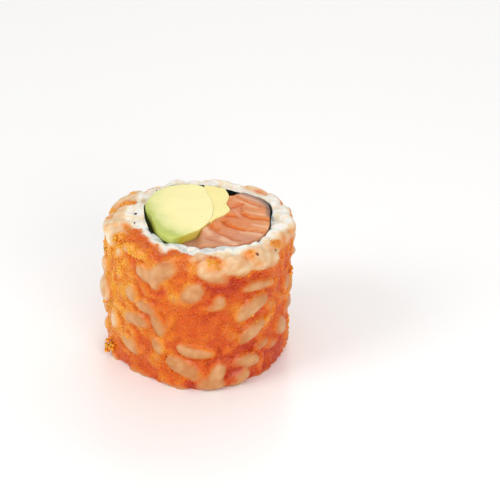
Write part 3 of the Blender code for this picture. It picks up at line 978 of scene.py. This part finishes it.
def fillingRings(piece, loop, rounding, shares):
    # rings up the wall, round the edge and in over the cut face
    hub = Vector(piece["hub"])
    rings = [[atHeight(point, height) for point in loop] for height in (0.0, 11.0, 22.0, 30.0)]
    for step in range(6):
        angle = math.radians(18 * step)
        ring = []
        for point in loop:
            radius = rounding(point)
            inset = (hub - point).normalized() * radius * (1 - math.cos(angle))
            ring.append(atHeight(point + inset, piece["top"] - radius * (1 - math.sin(angle))))
        rings.append(ring)
    for share in shares:
        ring = []
        for point in loop:
            start = point + (hub - point).normalized() * rounding(point)
            ring.append(atHeight(hub + (start - hub) * share, piece["top"]))
        rings.append(ring)
    return rings


def skinShare(point):
    # 1 on the side of the fruit's skin, 0 on the sides that a knife has cut
    return smooth((fromWrap(point)[1] + 1.6) / 0.9)


def buildAvocado(name, piece, beside=()):
    loop = planLoop(piece)
    for other in beside:
        loop = pressedOn(loop, planLoop(other), 0.35)

    def rounding(point):
        cut = mixed(piece["sharpRound"], 0.1, piece["seam"](point))
        return mixed(cut, piece["skinRound"], skinShare(point))

    shares = [0.97, 0.93, 0.88, 0.82, 0.75, 0.67, 0.58, 0.48, 0.38, 0.28, 0.18, 0.08]
    bm = loft(fillingRings(piece, loop, rounding, shares))
    skin, wall = [], []
    for vert in bm.verts:
        plan = vert.co.xy
        flat = (plan.x, plan.y, 0)
        # 0 on the cut face, 1 down the sides, where painted shade deepens the colour
        wall.append(smooth((piece["top"] - 0.2 - vert.co.z) / 0.4) * (1 - skinShare(plan)))
        if vert.co.z > 30.5:
            # the cut face is faintly domed and uneven
            vert.co.z -= 0.0012 * plan.length ** 2 + piece["slope"] * max(plan.x - 2.6, 0.0)
            vert.co.z += 0.12 * bumpy(flat, 3.5) + 0.03 * bumpy(flat, 0.9)
        # how deep in the fruit this spot lies, in mm from its skin, in lumps
        deep = -fromWrap(vert.co)[1] + 0.8 * bumpy(vert.co, 3.0)
        skin.append(deep + 0.22 * (vert.co.x + vert.co.y))
    obj = newObject(name, bm)
    setAttribute(obj.data, "deep", skin)
    setAttribute(obj.data, "wall", wall)
    return obj


def avocadoMaterial(name, reach, stops):
    # ripe avocado flesh: buttery, satin, green by the skin and yellow towards the stone
    material, tree, shader, coords = newMaterial(name, {
        "Roughness": 0.42, "IOR": 1.45, **glow(0.3, 1.0, (0.9, 0.8, 0.35)), **film(0.06, 0.25)})
    share = addNode(tree, "MapRange", {}, {"From Min": reach[0], "From Max": reach[1]}, {
        "Value": attributeOf(tree, "deep")}).outputs["Result"]
    cloud = noiseAt(tree, coords, 2.2, 3.0)
    colour = rampOf(tree, moved(tree, share, cloud, 0.4), stops)
    # fibre ends, drawn at 0.25 mm so that they show
    dots = addNode(tree, "TexVoronoi", {}, {
        "Scale": grainSize(2.3)}, {"Vector": coords}).outputs["Distance"]
    dotShare = addNode(tree, "MapRange", {}, {
        "From Min": 0.03, "From Max": 0.1, "To Min": 0.7, "To Max": 0.0}, {"Value": dots}).outputs["Result"]
    colour = tinted(tree, colour, "#a0a450", dotShare)
    # painted shade, and painted light bounced from the salmon, deepen the yellow down the cut sides
    colour = tinted(tree, colour, "#c4ae14", attributeOf(tree, "wall"))
    dress(tree, shader, colour, cloud, 0.2, 0.1)
    return material


salmon = {
    "plan": ((9.6, 12.0), (7.6, 10.0), (6.7, 8.2), (6.2, 6.3), (6.3, 4.9), (7.0, 3.6), (6.9, 1.5),
             (5.6, -0.6), (4.1, -2.6), (2.6, -4.7), (1.0, -7.4), (-0.9, -10.2), (-3.0, -12.4), (0.0, -17.0),
             (9.0, -19.0), (18.0, -12.0), (20.0, 0.0), (16.0, 12.0), (11.6, 12.7)),
    "hub": (9.0, -3.4), "top": 33.3, "segments": 260, "round": 0.35,
    "faceRings": 42,
    "rise": 0.45,  # how much higher it lies where it meets the avocado
    "tipDrop": 1.1,  # and how much lower its tip under the wedge
}
# lines between the flakes: points, half width and depth in mm, and how orange they are
flakeLines = (
    (((7.6, 3.6), (8.4, 4.7), (9.4, 5.6)), 0.85, 0.3, 1.0),
    (((9.4, 5.2), (9.1, 3.6), (9.3, 1.8), (9.8, 0.6)), 0.25, 0.2, 0.4),
    (((9.6, 0.6), (10.3, -0.6)), 0.8, 0.45, 1.0),
    (((10.3, -0.8), (11.4, -1.4), (12.6, -1.5), (13.9, -1.7), (15.4, -2.2)), 0.5, 0.45, 1.0),
    (((5.9, -1.0), (6.9, -0.8), (7.6, -1.1)), 0.8, 0.35, 1.0),
    (((7.4, -1.0), (8.4, -1.4), (9.3, -0.8)), 0.22, 0.15, 0.3),
    (((5.3, -3.7), (5.9, -5.2), (7.0, -6.4), (8.4, -7.1), (9.8, -7.6)), 0.85, 0.5, 1.0),
    (((9.6, -7.6), (11.2, -7.7), (12.8, -7.9), (15.0, -8.6)), 0.38, 0.4, 0.7),
    (((2.6, -6.0), (3.0, -7.4), (4.0, -8.0)), 0.85, 0.3, 0.85),
    (((3.5, -8.6), (4.6, -9.6), (5.8, -10.4), (6.8, -11.2), (7.8, -12.0), (9.0, -12.6)), 0.34, 0.45, 0.5),
    (((8.2, 9.4), (9.4, 8.2), (10.6, 6.9), (11.7, 6.0), (12.7, 5.2), (14.1, 4.5), (15.4, 3.6)),
     0.3, 0.4, 0.3),
    (((1.6, -11.5), (3.4, -12.4), (5.0, -13.8)), 0.3, 0.3, 0.3),
    (((12.2, -3.4), (14.2, -3.9), (15.6, -4.6)), 0.2, 0.15, 0.1),
    (((8.6, -9.0), (11.0, -9.6), (13.4, -10.4)), 0.2, 0.15, 0.1),
)
# pale fat beside those lines: points, half width
fatLines = (
    (((7.6, 7.4), (9.0, 6.8), (10.6, 5.4), (12.4, 4.0)), 0.7), (((10.2, 1.8), (12.0, 0.9), (14.6, 0.2)), 0.6),
    (((7.6, 1.8), (8.1, 0.8), (8.7, -0.4)), 0.8), (((9.6, -8.6), (11.6, -9.0), (14.0, -9.8)), 1.0),
    (((5.2, -11.6), (6.6, -12.8), (7.8, -13.8)), 0.9), (((1.3, -7.2), (1.6, -8.6), (2.4, -10.0)), 0.9),
    (((12.0, -4.8), (13.8, -5.4), (15.2, -6.0)), 0.9), (((9.0, 9.8), (11.0, 8.6), (13.0, 7.2)), 0.4),
)


def alongLine(points, places):
    # the least distance from a line through points to each place
    best = np.full(len(places), 1e9)
    for start, end in zip(points, points[1:]):
        start, run = np.array(start), np.subtract(end, start)
        share = np.clip(((places - start) @ run) / (run @ run), 0, 1)
        best = np.minimum(best, np.linalg.norm(places - start - share[:, None] * run, axis=1))
    return best


def salmonLift(x, y):
    # lower at the tip under the wedge, higher along the avocado, and uneven
    rise = salmon["rise"] * smooth((12 - x) / 6) * smooth((y + 13) / 5)
    uneven = 0.16 * bumpy((x, y, 0), 3.0) + 0.05 * bumpy((x, y, 0), 1.1)
    return mixed(-salmon["tipDrop"], rise, smooth((x + 0.4) / 1.3)) + uneven


def salmonSkinAndShadow(x, y):
    # dark at the upper right edge, where the skin was, and a little at the tip, a painted shadow under the
    # wedge
    edge = 0.8 * smooth((fromWrap((x, y))[1] + 1.6) / 1.1) * smooth((x + 0.9 * y - 13.5) / 2.5)
    return max(edge, 0.4 * smooth(0.4 - x / 2))


def buildSalmon():
    loop = planLoop(salmon)
    for other in (wedge, innerSlice):
        loop = pressedOn(loop, planLoop(other), 0.9)
    shares = [0.99 - 0.97 * step / salmon["faceRings"] for step in range(salmon["faceRings"])]
    obj = newObject("salmon_flakes", loft(fillingRings(salmon, loop, lambda point: salmon["round"], shares)))
    places = vertexPlaces(obj.data)
    plan = places[:, :2]
    relief, orange, fat = (np.zeros(len(places)) for _ in range(3))
    for points, half, depth, colour in flakeLines:
        near = smoothArray(1.15 - alongLine(points, plan) / half)
        relief = np.maximum(relief, near * depth)
        orange = np.maximum(orange, near * colour)
    for points, half in fatLines:
        fat = np.maximum(fat, 0.6 * smoothArray(1.2 - alongLine(points, plan) / half))
    lift = np.array([salmonLift(x, y) for x, y in plan])
    onFace = np.clip((places[:, 2] - 31.0) / 1.6, 0, 1)
    places[:, 2] += onFace * (lift + 0.12 * fat - relief)
    obj.data.vertices.foreach_set("co", places.ravel())
    # grey brown meat by the skin, at the upper right and the front, and grey at the tip, a painted shadow
    # under the wedge
    grey = np.clip((plan @ np.array((0.66, 0.75)) - 12.2) / 1.6, 0, 1)
    grey = np.maximum(grey, 0.6 * np.clip((1.0 - plan[:, 0]) / 1.4, 0, 1))
    grey = np.maximum(grey, 0.6 * np.clip((-6.5 - plan[:, 1]) / 4, 0, 1))
    # the middle is more orange than the upper right and the front
    warm = np.clip(1.3 - np.hypot(plan[:, 0] - 7.0, (plan[:, 1] + 1.0) * 0.7) / 7.0, 0, 1)
    setAttribute(obj.data, "orange", np.maximum(orange, 0.5 * warm))
    setAttribute(obj.data, "grey", grey)
    setAttribute(obj.data, "skin", [salmonSkinAndShadow(x, y) for x, y in plan])
    setAttribute(obj.data, "fat", fat)
    return obj


def salmonMaterial():
    # raw salmon, cut across its flakes: moist pink muscle with fat between, orange in the folds
    material, tree, shader, coords = newMaterial("raw salmon", {
        "Roughness": 0.36, "IOR": 1.4, "Specular IOR Level": 0.3,
        **glow(0.22, 0.9, (1.0, 0.4, 0.25)), **film(0.06, 0.2)})
    lie = addNode(tree, "Mapping", {}, {
        "Rotation": (0, 0, math.radians(16)), "Scale": (1.0, 6.0, 1.0)}, {"Vector": coords}).outputs["Vector"]
    fibre = noiseAt(tree, lie, 2.6, 4.0, 0.6)
    colour = rampOf(tree, fibre, ((0.25, "#ca6c2e"), (0.8, "#efb680"), (0.5, "#dd8e4e")))
    # grey and skin also darken the tip, a painted shadow
    for name, tint in (("grey", "#be8a74"), ("fat", "#edc19a"), ("orange", "#d25a00"), ("skin", "#6a5648")):
        colour = tinted(tree, colour, tint, attributeOf(tree, name))
    dress(tree, shader, colour, fibre, 0.35, 0.15)
    return material


setStudio()
riceObject = buildRice()
buildRoe(riceObject)
noriLook = noriMaterial()
# nori flecks, the first of them a painted shadow in a gap between grains
finishPiece(buildFlecks("nori_and_shade_flecks", riceObject), noriLook)
finishPiece(buildFlecks("dark_specks", riceObject), speckMaterial())
finishPiece(riceObject, riceMaterial(), "rice")
finishPiece(buildNori(), noriLook, "nori")
finishPiece(
    buildAvocado("avocado_wedge_cut", wedge),
    avocadoMaterial("avocado flesh", (-1.8, 6.0), (
        (0.0, "#b8c35b"), (1.0, "#faedaa"), (0.2, "#d8da88"), (0.45, "#e9e59c"), (0.7, "#f5eba4"))),
    "avocado_wedge")
finishPiece(
    buildAvocado("avocado_slice_cut", innerSlice, (wedge,)),
    avocadoMaterial("avocado flesh near the stone", (-2.0, 8.0), (
        (0.0, "#e8d880"), (1.0, "#f8e898"), (0.4, "#f4e28e"))),
    "avocado_slice")
finishPiece(buildSalmon(), salmonMaterial(), "salmon")
